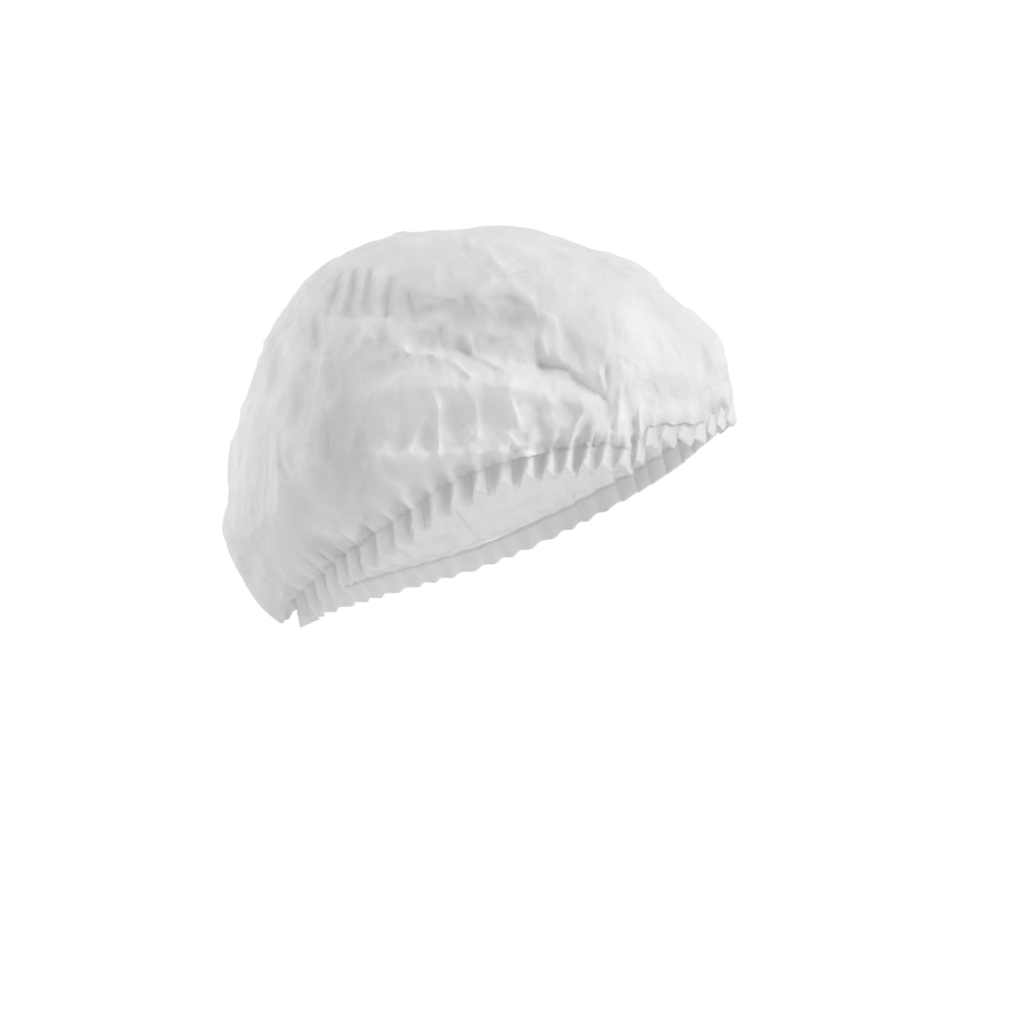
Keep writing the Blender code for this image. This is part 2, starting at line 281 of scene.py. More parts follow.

# Along each side of the rim, as a share of TIP_REACH: the puff of the crown over the hem, how far up the
# gathers reach and how deep they are, each as a share of its size, the part of a gather that its steep flank
# takes, and how light the hem is painted: painted shade (-) or painted light (+) on the hem and the foot of
# the crown.
NEAR_FOOT = (
    # along, ledge, fade, depth, flank, light
    (-1.00, 0.00, 0.8, 0.4, 0.60, -0.2),
    (-0.90, 0.00, 0.8, 0.5, 0.60, -0.2),
    (-0.70, 0.10, 0.9, 0.6, 0.60, -0.1),
    (-0.45, 0.40, 0.8, 0.7, 0.60, 0.0),
    (-0.20, 0.90, 0.7, 0.8, 0.60, 0.0),
    (0.10, 1.00, 0.7, 0.8, 0.65, -0.1),
    (0.34, 0.80, 0.7, 0.8, 0.65, -0.3),
    (0.46, 0.25, 0.8, 0.6, 0.55, -0.4),
    (0.60, 0.00, 0.7, 0.3, 0.50, -0.6),
    (0.72, 0.00, 0.5, 0.2, 0.50, -0.6),
    (0.90, 0.00, 0.5, 0.3, 0.50, -0.4),
    (1.00, 0.00, 0.5, 0.5, 0.50, -0.3),
)
FAR_FOOT = (
    # along, ledge, fade, depth, flank, light
    (-1.00, 0.0, 1.0, 1.0, 0.5, 0.1),
    (-0.60, 0.4, 1.0, 0.8, 0.5, 0.0),
    (0.30, 0.3, 1.1, 0.8, 0.5, -0.35),
    (0.50, 0.2, 1.0, 2.6, 0.5, -0.1),
    (0.75, 0.2, 1.0, 3.0, 0.5, -0.1),
    (1.00, 0.0, 1.0, 1.0, 0.5, -0.3),
)

# Gathers counted along the near side of the rim, where they are uneven.
NEAR_GATHERS = (
    # along, gathers so far
    (-1.000, 0.0),
    (-0.916, 1.5),
    (-0.800, 3.5),
    (-0.687, 5.5),
    (-0.450, 8.5),
    (-0.270, 10.5),
    (-0.076, 12.5),
    (0.118, 14.5),
    (0.263, 16.5),
    (0.403, 18.5),
    (0.610, 21.5),
    (0.810, 24.5),
    (1.000, 28.0),
)

# How far a near gather leans along the rim for each metre up.
GATHER_LEAN = 0.46

# The large folds of the near side, in the same way as the ridges below, and the painted light (+) or painted
# shade (-) put into the cloth's colour along them.
FORMS = (
    # from x, from y, to x, to y, width, height, lean, light
    # the upper pouch, which hangs over the long crease
    (404, 292, 470, 304, 24, 3.6, 0.2, -0.50),
    (470, 304, 540, 314, 24, 3.6, 0.2, -0.60),
    (540, 314, 606, 350, 20, 3.6, 0.2, -0.30),
    (606, 350, 628, 376, 14, 2.0, 0.2, 0.0),
    # the long crease
    (412, 348, 470, 352, 13, -3.4, 0.3, -0.20),
    (470, 352, 541, 366, 12, -3.8, 0.3, -0.10),
    (541, 366, 604, 398, 10, -2.8, 0.3, -0.15),
    # the bright shelf under it
    (372, 392, 440, 386, 15, 2.6, 0.0, 0.10),
    (440, 386, 510, 388, 15, 4.0, 0.0, 0.40),
    (510, 388, 580, 404, 13, 3.8, 0.0, 0.40),
    # the sunk panels, and the lower shelf over the rim
    (390, 430, 500, 422, 18, -2.6, 0.0, 0.15),
    (380, 456, 510, 452, 8, 3.2, -0.3, 0.35),
    (520, 452, 566, 462, 7, 3.0, -0.3, 0.30),
    # the broad hollow down the left
    (338, 330, 330, 420, 30, -2.6, -0.3, -0.25),
    (330, 420, 352, 500, 30, -2.0, -0.3, -0.10),
    (318, 544, 344, 556, 13, -2.4, 0.0, -1.00),
    # painted shades without a fold
    (350, 290, 400, 300, 22, 0.0, 0.0, -0.40),
    (340, 350, 352, 480, 44, 0.0, 0.0, -0.55),
    (440, 392, 520, 400, 40, 0.0, 0.0, 0.20),
    (244, 380, 250, 540, 26, 0.0, 0.0, 0.20),
    (560, 240, 640, 300, 40, 0.0, 0.0, -0.15),
    (628, 318, 646, 356, 16, 0.0, 0.0, 0.25),
    (600, 378, 624, 440, 16, 0.0, 0.0, 0.25),
    (650, 452, 690, 440, 14, 0.0, 0.0, -0.50),
    (708, 408, 732, 424, 9, 0.0, 0.0, -0.60),
    (705, 350, 708, 368, 6, 0.0, 0.0, -0.40),
)

# Ridges (+) and creases (-) of the crumpled near side, from and to a place in
# the picture, 1024 points wide and high. Width is in the same points, height
# in millimetres, and lean puts the steep flank on the left (-) or right (+)
# of the way along.
RIDGES = (
    # from x, from y, to x, to y, width, height, lean
    # crimps on the upper left
    (341, 272, 330, 312, 4, -2.4, 0.0),
    (348, 274, 340, 308, 3, 1.6, 0.0),
    (356, 272, 348, 312, 4, -2.8, 0.0),
    (364, 272, 357, 308, 3, 1.8, 0.0),
    (371, 272, 369, 310, 4, -3.2, 0.0),
    (380, 274, 378, 312, 4, 2.0, 0.0),
    (391, 280, 387, 314, 4, -2.8, 0.0),
    (398, 288, 398, 310, 3, 1.2, 0.0),
    (340, 318, 392, 320, 4, 1.4, -0.6),
    (334, 300, 396, 304, 9, -1.2, 0.0),
    (314, 316, 316, 344, 4, -1.4, 0.0),
    (322, 318, 323, 360, 4, 1.1, 0.4),
    (323, 360, 318, 392, 5, 0.8, 0.2),
    (289, 322, 288, 338, 4, -1.2, 0.0),
    (285, 324, 285, 354, 3, 1.0, 0.0),
    (274, 338, 274, 382, 8, -1.6, -0.4),
    (265, 332, 264, 400, 5, 1.2, 0.0),
    (300, 314, 303, 330, 4, -1.0, 0.0),
    # creases on the left flank
    (262, 440, 258, 476, 5, -1.2, 0.0),
    (270, 436, 270, 480, 4, 1.4, 0.0),
    (278, 436, 282, 466, 6, -1.2, 0.3),
    (246, 500, 250, 540, 6, -1.0, 0.0),
    (268, 496, 270, 548, 5, 1.0, 0.0),
    (286, 486, 284, 520, 5, 0.9, 0.0),
    (236, 420, 234, 470, 6, 0.9, 0.3),
    (300, 400, 330, 452, 12, -0.8, 0.0),
    (330, 452, 345, 500, 12, -1.4, 0.4),
    (250, 360, 244, 400, 8, 1.2, 0.0),
    # the step under the crimps
    (364, 326, 372, 342, 3, 1.6, 0.5),
    (372, 342, 392, 336, 5, -1.2, 0.0),
    (392, 336, 406, 354, 4, 1.8, 0.5),
    (406, 354, 434, 356, 5, 1.8, 0.5),
    (424, 351, 438, 359, 3, 1.6, 0.0),
    (452, 362, 470, 377, 3, 2.6, 0.2),
    (468, 340, 473, 353, 3, 1.8, 0.0),
    (473, 353, 497, 367, 4, 2.0, 0.5),
    # dark hollows under the upper pouch
    (409, 296, 412, 310, 5, -3.0, 0.0),
    (424, 307, 430, 309, 4, -1.8, 0.0),
    (440, 330, 442, 346, 6, -2.0, 0.0),
    (460, 345, 466, 353, 7, -1.5, 0.0),
    (465, 300, 466, 306, 5, -1.8, 0.0),
    (494, 304, 512, 303, 5, -1.8, 0.0),
    (498, 320, 508, 322, 7, -1.8, 0.0),
    (490, 341, 506, 339, 6, -1.6, 0.0),
    # edges of the rounded upper lobes
    (476, 292, 494, 280, 4, 1.0, -0.4),
    (494, 280, 512, 282, 4, 1.0, -0.4),
    (514, 286, 530, 296, 4, 1.2, -0.4),
    (531, 298, 536, 312, 4, 1.4, -0.4),
    (538, 312, 556, 322, 5, 1.4, -0.4),
    (556, 322, 560, 346, 6, 1.6, -0.4),
    (560, 322, 574, 350, 8, -1.4, 0.2),
    # small ridges under the top
    (441, 239, 451, 230, 3, 1.6, 0.3),
    (418, 246, 426, 236, 3, 1.0, 0.3),
    (455, 233, 459, 242, 3, 1.8, 0.0),
    (462, 246, 468, 250, 6, -1.6, 0.0),
    (470, 238, 472, 246, 3, 1.4, 0.0),
    (436, 264, 436, 290, 3, 1.3, 0.3),
    (488, 248, 496, 262, 4, 1.4, 0.3),
    (496, 262, 515, 284, 4, 1.3, 0.3),
    (520, 252, 560, 250, 8, 0.9, 0.3),
    # the long stepped crease across the middle
    (536, 348, 541, 364, 5, -1.8, 0.3),
    (541, 364, 562, 367, 4, -2.0, -0.3),
    (562, 366, 582, 382, 4, -1.8, -0.3),
    (560, 360, 564, 372, 3, 1.2, 0.0),
    (582, 382, 603, 396, 4, -1.8, -0.3),
    (577, 372, 583, 384, 3, 1.4, 0.0),
    (592, 383, 598, 396, 3, 1.2, 0.0),
    (541, 340, 545, 355, 3, 1.6, 0.0),
    # ridges round the panels over the near rim
    (432, 391, 438, 408, 4, 1.8, 0.3),
    (438, 406, 438, 452, 3, 2.6, 0.0),
    (422, 418, 409, 450, 3, 2.0, 0.2),
    (394, 428, 380, 456, 4, 1.6, 0.2),
    (476, 404, 478, 436, 3, 1.4, 0.0),
    (478, 436, 468, 446, 4, 1.4, 0.0),
    (512, 402, 519, 424, 4, 2.0, -0.2),
    (510, 436, 524, 456, 5, 2.4, -0.3),
    (524, 456, 552, 464, 5, 2.2, 0.3),
    (536, 444, 550, 464, 4, 2.2, 0.0),
    (540, 424, 556, 454, 8, -2.8, 0.0),
    (541, 412, 545, 420, 4, 1.4, 0.0),
    (538, 409, 541, 411, 4, -1.8, 0.0),
    (579, 418, 570, 440, 3, 2.8, 0.3),
    (560, 400, 574, 412, 10, -2.2, 0.0),
    (586, 428, 586, 446, 9, -3.6, 0.0),
    (600, 452, 600, 464, 7, -3.4, 0.0),
    (595, 446, 592, 462, 3, 1.6, 0.0),
    # the fan of ridges on the right
    (600, 374, 604, 388, 3, 2.0, 0.0),
    (606, 370, 606, 392, 3, -2.2, 0.0),
    (604, 388, 610, 400, 3, 1.8, 0.0),
    (604, 424, 596, 446, 3, 1.8, 0.0),
    (609, 400, 606, 424, 5, -1.4, 0.0),
    (620, 392, 622, 418, 6, 2.0, 0.0),
    (612, 426, 610, 446, 4, -1.8, 0.0),
    (619, 424, 616, 444, 3, 1.6, 0.0),
    (634, 424, 630, 440, 4, -2.0, 0.0),
    (640, 372, 640, 434, 5, 1.2, 0.0),
    (640, 434, 630, 458, 3, 2.0, 0.3),
    (648, 440, 668, 452, 7, -1.6, 0.0),
    (626, 394, 632, 420, 5, -1.4, 0.0),
    # creases at the right end
    (705, 350, 710, 372, 5, -1.4, 0.0),
    (700, 370, 698, 380, 4, 1.4, 0.0),
    (714, 396, 722, 408, 6, -1.4, 0.0),
    (722, 408, 733, 422, 6, -1.6, 0.0),
    (702, 431, 711, 438, 4, -2.0, 0.0),
    (696, 438, 700, 442, 5, -2.2, 0.0),
    (688, 446, 700, 428, 4, 1.4, 0.0),
    (596, 257, 605, 260, 4, -1.2, 0.0),
    (614, 269, 624, 274, 4, -1.4, 0.0),
    (640, 290, 690, 340, 10, -0.9, 0.3),
    (628, 312, 648, 350, 12, 1.4, 0.0),
    # folds over the left of the near rim
    (300, 470, 318, 510, 10, 1.2, 0.3),
    (318, 532, 348, 538, 7, 2.2, 0.3),
    (350, 500, 358, 530, 4, 1.6, 0.0),
    (366, 518, 366, 532, 6, -2.4, 0.0),
    (354, 496, 366, 466, 4, 1.2, 0.3),
    (380, 466, 402, 500, 5, 1.4, 0.3),
    (404, 500, 412, 512, 4, 1.4, 0.0),
    (372, 500, 384, 520, 6, 1.2, 0.0),
    (390, 460, 420, 462, 5, 1.8, 0.5),
    (360, 520, 352, 540, 4, 1.2, 0.0),
)

# Each ridge also puts a painted highlight on the cloth and each crease a painted shade, in step with its
# height
STROKES = FORMS + tuple((*ridge, ridge[5] / FULL_SHADE_HEIGHT) for ridge in RIDGES)

# Shallow panels with a clear edge: middle and half sizes in picture points, turn in degrees and depth in
# millimetres. Each panel is also painted darker with its depth, as painted shade.
PANELS = (
    # x, y, half width, half height, turn, depth
    (458, 416, 16, 26, 8, 1.9),
    (494, 412, 17, 15, -8, 1.5),
    (567, 410, 16, 17, 0, 2.0),
    (424, 436, 11, 16, 0, 1.8),
    (397, 440, 12, 16, 12, 1.6),
    (384, 362, 28, 22, 20, 1.6),
    (345, 372, 22, 42, 0, 1.4),
    (345, 440, 26, 34, 0, 0.8),
    (422, 344, 16, 14, 0, 1.4),
    (504, 314, 28, 22, 0, 1.6),
    (462, 316, 24, 18, 0, 1.4),
    (582, 336, 26, 34, 15, 1.4),
    (610, 410, 9, 14, 0, 1.6),
)

# The hem's cloth, from the top of its outer layer round the rim's fold to the
# top of its inner layer: height is a share of the hem's height and offset a
# share of its thickness, outwards.
HEM_PROFILE = (
    # step, height, offset
    (0.0, 1.06, -0.12),
    (1.0, 0.98, 0.00),
    (2.0, 0.66, 0.12),
    (3.0, 0.32, 0.24),
    (4.0, 0.08, 0.28),
    (5.0, -0.02, 0.00),
    (6.0, 0.08, -0.36),
    (7.0, 0.30, -0.44),
    (8.0, 0.62, -0.46),
    (9.0, 0.90, -0.52),
    (10.0, 0.99, -0.40),
    (11.0, 0.96, -0.12),
)


def length(name, default, description, least=0.0):
    """A length that a user would change."""
    return FloatProperty(name=name, default=default, min=least, unit="LENGTH", description=description)


class CapShape(bpy.types.PropertyGroup):
    """Sizes of the cloth."""

    hem_height: length("Hem height", 0.013, "Height of the hem that holds the elastic", least=0.005)
    hem_thickness: length("Hem thickness", 0.0024,
                          "Thickness of the folded hem with its elastic", least=0.0005)
    far_gathers: IntProperty(name="Far gathers", default=27, min=4,
                             description="Number of gathers along the far side of the rim")
    near_depth: length("Near gather depth", 0.0036,
                       "How far a gather on the near side stands out from the rim's line")
    far_depth: length("Far gather depth", 0.0014,
                      "How far a gather on the far side stands out from the rim's line")
    near_fade: length("Near gather fade", 0.020, "How far up the near side the gathers reach", least=0.001)
    far_fade: length("Far gather fade", 0.036, "How far up the far side the gathers reach", least=0.001)
    ledge: length("Ledge", 0.0055, "How far the puffed cloth bulges out over the near hem")
    overhang: length("Overhang", 0.0042, "How far the crown's puffs hang down over the near hem")
    scallop: length("Scallop", 0.0028, "How far the rim's lower edge rises and falls")
    fold_gain: FloatProperty(name="Fold gain", default=1.1, min=0.0,
                             description="Makes the drawn folds higher or lower")
    slack: FloatProperty(name="Slack", default=0.075, min=0.0, max=0.3,
                         description="How much longer the cloth is than the form it fills")
    crumple_reach: length("Crumple reach", 0.0012, "How far a crumple may move the cloth")
    crease_depth: length("Crease depth", 0.0018, "Depth of the fine creases all over the crown")
    cells: IntProperty(name="Cells", default=144, min=16,
                       description="Cells along one side of the crown's sheet before it is smoothed")
    sheet_width: length("Sheet width", 0.42, "Flat width of the sheet from hem to hem", least=0.1)
    sheet_length: length("Sheet length", 0.47, "Flat length of the sheet from weld to weld", least=0.1)


class CapCloth(bpy.types.PropertyGroup):
    """Colours and finish of the cloth."""

    crown_colour: FloatVectorProperty(name="Crown colour", subtype="COLOR", size=3, min=0.0, max=1.0,
                                      default=(0.80, 0.80, 0.80), description="Colour of the crown")
    # The hems are the crown's cloth, painted lighter as painted light to offset the shade under the ledge
    hem_colour: FloatVectorProperty(name="Hem colour", subtype="COLOR", size=3, min=0.0, max=1.0,
                                    default=(0.87, 0.87, 0.87), description="Colour of the hems")
    weld_colour: FloatVectorProperty(name="Weld colour", subtype="COLOR", size=3, min=0.0, max=1.0,
                                     default=(0.90, 0.90, 0.90), description="Colour of the welds")
    shine_through: FloatProperty(name="Shine through", default=0.42, min=0.0, max=1.0, subtype="FACTOR",
                                 description="Share of the light that passes through one layer")
    weld_shine: FloatProperty(name="Weld shine through", default=0.30, min=0.0, max=1.0, subtype="FACTOR",
                              description="Share of the light that passes through a weld")


class CapStage(bpy.types.PropertyGroup):
    """Floor, light and camera."""

    floor_colour: FloatVectorProperty(name="Floor colour", subtype="COLOR", size=3, min=0.0, max=1.0,
                                      default=(0.80, 0.80, 0.80), description="Colour of the floor")
    floor_drop: length("Floor drop", 1.3, "How far the floor lies below the rim", least=0.5)
    floor_size: length("Floor size", 16.0, "Width of the floor", least=1.0)
    camera_distance: length("Camera distance", 1.5, "Distance from the camera to the rim's centre", least=0.3)
    camera_below: FloatProperty(name="Camera below", default=math.radians(12.0), subtype="ANGLE",
                                description="How far below the rim's plane the camera looks from")
    camera_roll: FloatProperty(name="Camera roll", default=math.radians(24.6), subtype="ANGLE",
                               description="How far the opening tilts up to the right in the picture")
    room_light: FloatProperty(name="Room light", default=0.80, min=0.0,
                              description="Strength of the even light from all round")
    picture_width: length("Picture width", 0.5734, "Width that the picture takes in at the cap", least=0.1)


def smoothstep(value):
    """0 below 0, 1 above 1, and a soft rise between them."""
    value = min(1.0, max(0.0, value))
    return value * value * (3.0 - 2.0 * value)


def swell(value, start, rise, end, fall):
    """A bump that rises from a start and falls after an end."""
    return smoothstep((value - start) / rise) * (1.0 - smoothstep((value - end) / fall))


def slope(table, row, column):
    """The table's slope at a row, for a smooth curve through its rows."""
    before = max(0, row - 1)
    after = min(len(table) - 1, row + 1)
    return (table[after][column] - table[before][column]) / (table[after][0] - table[before][0])


def along_table(table, key, column):
    """A smooth curve through one column of a table, read at its first column."""
    key = min(table[-1][0], max(table[0][0], key))
    row = 0
    while row < len(table) - 2 and table[row + 1][0] < key:
        row += 1
    span = table[row + 1][0] - table[row][0]
    t = (key - table[row][0]) / span
    start, end = table[row][column], table[row + 1][column]
    rise, fall = slope(table, row, column) * span, slope(table, row + 1, column) * span
    return (
        (2 * t**3 - 3 * t**2 + 1) * start
        + (t**3 - 2 * t**2 + t) * rise
        + (3 * t**2 - 2 * t**3) * end
        + (t**3 - t**2) * fall
    )


NUMBERED = tuple((float(number), *row) for number, row in enumerate(SECTIONS))
LAST_SECTION = float(len(SECTIONS) - 1)


def section_at(level):
    """Rise, left, right, near, far and pinch at a level counted in section rows."""
    return [along_table(NUMBERED, level, column) for column in range(1, 7)]


def up_shares():
    """How far up the wall each level lies, by the length of the mean profile."""
    steps = PROFILE_STEPS
    lengths = [0.0]
    last = None
    for step in range(steps + 1):
        rise, left, right, near, far, _ = section_at(LAST_SECTION * step / steps)
        reach = ((left + right) * TIP_REACH + (near + far) * RIM_REACH) / 4
        point = Vector((reach, rise * CROWN_RISE))
        if last is not None:
            lengths.append(lengths[-1] + (point - last).length)
        last = point
    return [share / lengths[-1] for share in lengths], lengths[-1]


UP_SHARES, PROFILE_LENGTH = up_shares()


def level_at(up):
    """The level at a share of the way from hem to pole."""
    if up <= 0.0:
        return 0.0
    for step in range(1, len(UP_SHARES)):
        if UP_SHARES[step] >= up:
            span = UP_SHARES[step] - UP_SHARES[step - 1]
            part = (up - UP_SHARES[step - 1]) / span
            return LAST_SECTION * (step - 1 + part) / (len(UP_SHARES) - 1)
    return LAST_SECTION


def half_outline(left, right, near, far, pinch, side):
    """Points from the left tip to the right tip on one side, and their lengths."""
    middle = (right - left) * TIP_REACH / 2
    reach = (right + left) * TIP_REACH / 2
    depth = near * RIM_REACH if side < 0 else far * RIM_REACH
    steps = OUTLINE_STEPS
    points, lengths = [], [0.0]
    for step in range(steps + 1):
        angle = math.pi * step / steps
        across = depth * max(0.0, math.sin(angle)) ** pinch
        points.append(Vector((middle - reach * math.cos(angle), side * across, 0.0)))
        if step:
            lengths.append(lengths[-1] + (points[-1] - points[-2]).length)
    return points, lengths


class Ring:
    """A closed horizontal section, read by the share of the way round it."""

    def __init__(self, rise, left, right, near, far, pinch):
        self.rise = rise
        self.near = half_outline(left, right, near, far, pinch, -1)
        self.far = half_outline(left, right, near, far, pinch, 1)

    def at(self, around):
        around = around % 1.0
        points, lengths = self.near if around <= 0.5 else self.far
        share = around * 2 if around <= 0.5 else (1.0 - around) * 2
        goal = share * lengths[-1]
        low, high = 0, len(lengths) - 1
        while high - low > 1:
            centre = (low + high) // 2
            if lengths[centre] <= goal:
                low = centre
            else:
                high = centre
        span = lengths[high] - lengths[low]
        part = (goal - lengths[low]) / span if span > 0 else 0.0
        return points[low].lerp(points[high], part)

    def length(self):
        return self.near[1][-1] + self.far[1][-1]


RIM = Ring(0.0, 1.0, 1.0, 1.0, 1.0, RIM_PINCH)
RINGS = {}


def ring_at(up):
    """The plain section at a share of the way up, kept for reuse."""
    key = round(up, 6)
    if key not in RINGS:
        RINGS[key] = Ring(*section_at(level_at(up)))
    return RINGS[key]


def rim_lift(around, hem_height):
    """How far the rim hangs above or below its plane."""
    along = RIM.at(around).x / TIP_REACH
    table = NEAR_RIM if around % 1.0 <= 0.5 else FAR_RIM
    return along_table(table, along, 1) * hem_height


def droop(around, up):
    """The crown's pouch hangs down over the left tip."""
    round_tip = min(around % 1.0, 1.0 - around % 1.0)
    near_tip = 1.0 - smoothstep(round_tip / DROOP_ROUND)
    return POUCH_DROOP * near_tip * swell(up, 0.0, DROOP_LOWEST, DROOP_LOWEST, DROOP_FADE)


def plain_point(around, up, hem_height):
    """The middle of the crown's wall before gathers and folds."""
    ring = ring_at(up)
    point = ring.at(around)
    lift = rim_lift(around, hem_height) * (1.0 - smoothstep(up / RIM_LIFT_FADE))
    height = hem_height + CLEARANCE + ring.rise * CROWN_RISE + lift - droop(around, up)
    return Vector((point.x, point.y, height))


def outward(around, up, hem_height):
    """The direction out of the crown's wall."""
    left, right = around - ROUND_STEP, around + ROUND_STEP
    low, high = max(0.0, up - UP_STEP), min(HIGHEST_UP, up + UP_STEP)
    over = plain_point(right, up, hem_height) - plain_point(left, up, hem_height)
    rise = plain_point(around, high, hem_height) - plain_point(around, low, hem_height)
    return over.cross(rise).normalized()


def flat_outward(ring, around):
    """The level direction out of a ring."""
    over = ring.at(around + ROUND_STEP) - ring.at(around - ROUND_STEP)
    return Vector((over.y, -over.x, 0.0)).normalized()


def tip_share(around):
    """0 at the tips and 1 away from them, so that the gathers run out there."""
    part = min(around % 0.5, 0.5 - (around % 0.5))
    return smoothstep(part * RIM.length() / TIP_FADE)


def foot_table(around):
    """The table for this side of the rim."""
    return NEAR_FOOT if around % 1.0 <= 0.5 else FAR_FOOT


def along_rim(around):
    """How far along the rim's long way, as a share of TIP_REACH."""
    return RIM.at(around).x / TIP_REACH


def gather_place(around, height):
    """Which near gather this is, and how far across it from its hollow."""
    along = along_rim(around) - GATHER_LEAN * height / TIP_REACH
    number = along_table(NEAR_GATHERS, along, 1) + 0.5
    return math.floor(number), number % 1.0


def wave(around, height, far_gathers):
    """The gathers' wave from -1 in a hollow to 1 on a ridge, none quite like the next."""
    if around % 1.0 > 0.5:
        number = (around % 1.0 - 0.5) * 2.0 * far_gathers
        return math.cos(2.0 * math.pi * number + FAR_UNEVEN * math.sin(FAR_TURNS * number))
    number, part = gather_place(around, height)
    uneven = 1.0 - NEAR_UNEVEN + NEAR_UNEVEN * math.sin(NEAR_TURNS * number)
    flank = along_table(NEAR_FOOT, along_rim(around), 4)
    if part < flank:
        return (2.0 * smoothstep((part / flank - FLANK_START) / (1.0 - FLANK_START)) - 1.0) * uneven
    return (1.0 - 2.0 * ((part - flank) / (1.0 - flank)) ** BACK_POWER) * uneven


def gather_depth(around, up, shape):
    """How deep the gathers are here."""
    near = around % 1.0 <= 0.5
    depth, fade = (shape.near_depth, shape.near_fade) if near else (shape.far_depth, shape.far_fade)
    along = along_rim(around)
    fade *= along_table(foot_table(around), along, 2)
    depth *= along_table(foot_table(around), along, 3)
    return depth * (1.0 - smoothstep(up * PROFILE_LENGTH / fade)) * tip_share(around)


def gathered_point(around, up, shape):
    """The crown's cloth with its gathers and the ledge over the hem."""
    point = plain_point(around, up, shape.hem_height)
    out = outward(around, up, shape.hem_height) if up > 0 else flat_outward(ring_at(0.0), around)
    height = shape.hem_height + up * PROFILE_LENGTH
    distance = up * PROFILE_LENGTH / MM
    if around % 1.0 <= 0.5:
        uneven = PUFF_UNEVEN * along_table(NEAR_FOOT, along_rim(around), 3)
        puff = PUFF_MEAN + uneven * wave(around, height, shape.far_gathers)
        over = (1.0 - smoothstep(distance / PUFF_FADE)) * tip_share(around)
        over *= PUFF_LEFT + PUFF_RIGHT * smoothstep((along_rim(around) - PUFF_TURN) / PUFF_TURN_SPAN)
        drop = shape.overhang * puff * over
        point = point + out * PUFF_OUT * shape.overhang * over - Vector((0.0, 0.0, drop))
        height -= drop
    ridge = wave(around, height, shape.far_gathers)
    point = point + out * ridge * gather_depth(around, up, shape)
    strength = shape.ledge * along_table(foot_table(around), along_rim(around), 1)
    sag = SAG_SHARE * strength * swell(distance, *SAG)
    level_out = flat_outward(ring_at(up), around)
    return point + level_out * strength * swell(distance, *BULGE) - Vector((0.0, 0.0, sag))


def gather_shade(around, height, shape):
    """Painted shade on a gather's steep flank and a painted highlight on its ridge, added to the painted
    shade or light at the foot.
    """
    along = along_rim(around)
    table = foot_table(around)
    rise = (height - shape.hem_height) / (shape.near_fade * along_table(table, along, 2))
    base = along_table(table, along, 5) * (1.0 - smoothstep(rise * FOOT_HASTE + FOOT_START))
    if around % 1.0 > 0.5:
        deep = FAR_GATHER_SHADE * along_table(table, along, 3) / FULL_FAR_DEPTH
        return base + deep * wave(around, height, shape.far_gathers) * (1.0 - smoothstep(rise))
    flank = along_table(table, along, 4)
    part = gather_place(around, height)[1]
    narrow = flank * (1.0 - FLANK_NARROWS * smoothstep(rise * FLANK_HASTE))
    dark = swell(part, 0.0, DARK_EDGES[0], narrow - DARK_EDGES[1], DARK_EDGES[1])
    light = swell(part, flank - RIDGE_START, RIDGE_EDGES[0], flank + RIDGE_END, RIDGE_EDGES[1])
    drop = smoothstep((height / shape.hem_height - DROP_START) / DROP_SPAN)
    strength = (1.0 - smoothstep(rise)) * tip_share(around) * math.sqrt(along_table(table, along, 3))
    return base + GATHER_SHADE * strength * (light - drop * dark)


def around_square(x, y):
    """The share of the way round a square, from the middle of its left side past its near side."""
    reach = max(abs(x), abs(y))
    if reach < CLOSE:
        return 0.0
    x, y = x / reach, y / reach
    if x <= -1.0 + CLOSE:
        return (-y / 8) % 1.0
    if y <= -1.0 + CLOSE:
        return 1 / 8 + (x + 1) / 8
    if x >= 1.0 - CLOSE:
        return 3 / 8 + (y + 1) / 8
    return 5 / 8 + (1 - x) / 8


def cloth_object(name, mesh, mats):
    """A named object from a bmesh, shaded smooth, in the scene."""
    data = bpy.data.meshes.new(name)
    mesh.to_mesh(data)
    mesh.free()
    data.shade_smooth()
    for mat in mats:
        data.materials.append(mat)
    obj = bpy.data.objects.new(name, data)
    bpy.context.scene.collection.objects.link(obj)
    return obj


def apply_modifiers(obj):
    """Puts what the modifiers make into the mesh and removes them."""
    depsgraph = bpy.context.evaluated_depsgraph_get()
    made = bpy.data.meshes.new_from_object(obj.evaluated_get(depsgraph), depsgraph=depsgraph)
    obj.modifiers.clear()
    old = obj.data
    obj.data = made
    bpy.data.meshes.remove(old)


def spread(rows, reach):
    """A grid of values evened out along its rows over a number of cells."""
    evened = []
    for row in rows:
        count = len(row)
        total = row[0] * (reach + 1)
        for value in row[1 : reach + 1]:
            total = total + value
        line = []
        for place in range(count):
            line.append(total / (2 * reach + 1))
            total = total + row[min(count - 1, place + reach + 1)] - row[max(0, place - reach)]
        evened.append(line)
    return evened


def evened_out(rows, reach):
    """A grid of values evened out both ways, twice over."""
    for _ in range(4):
        rows = [list(column) for column in zip(*spread(rows, reach))]
    return rows


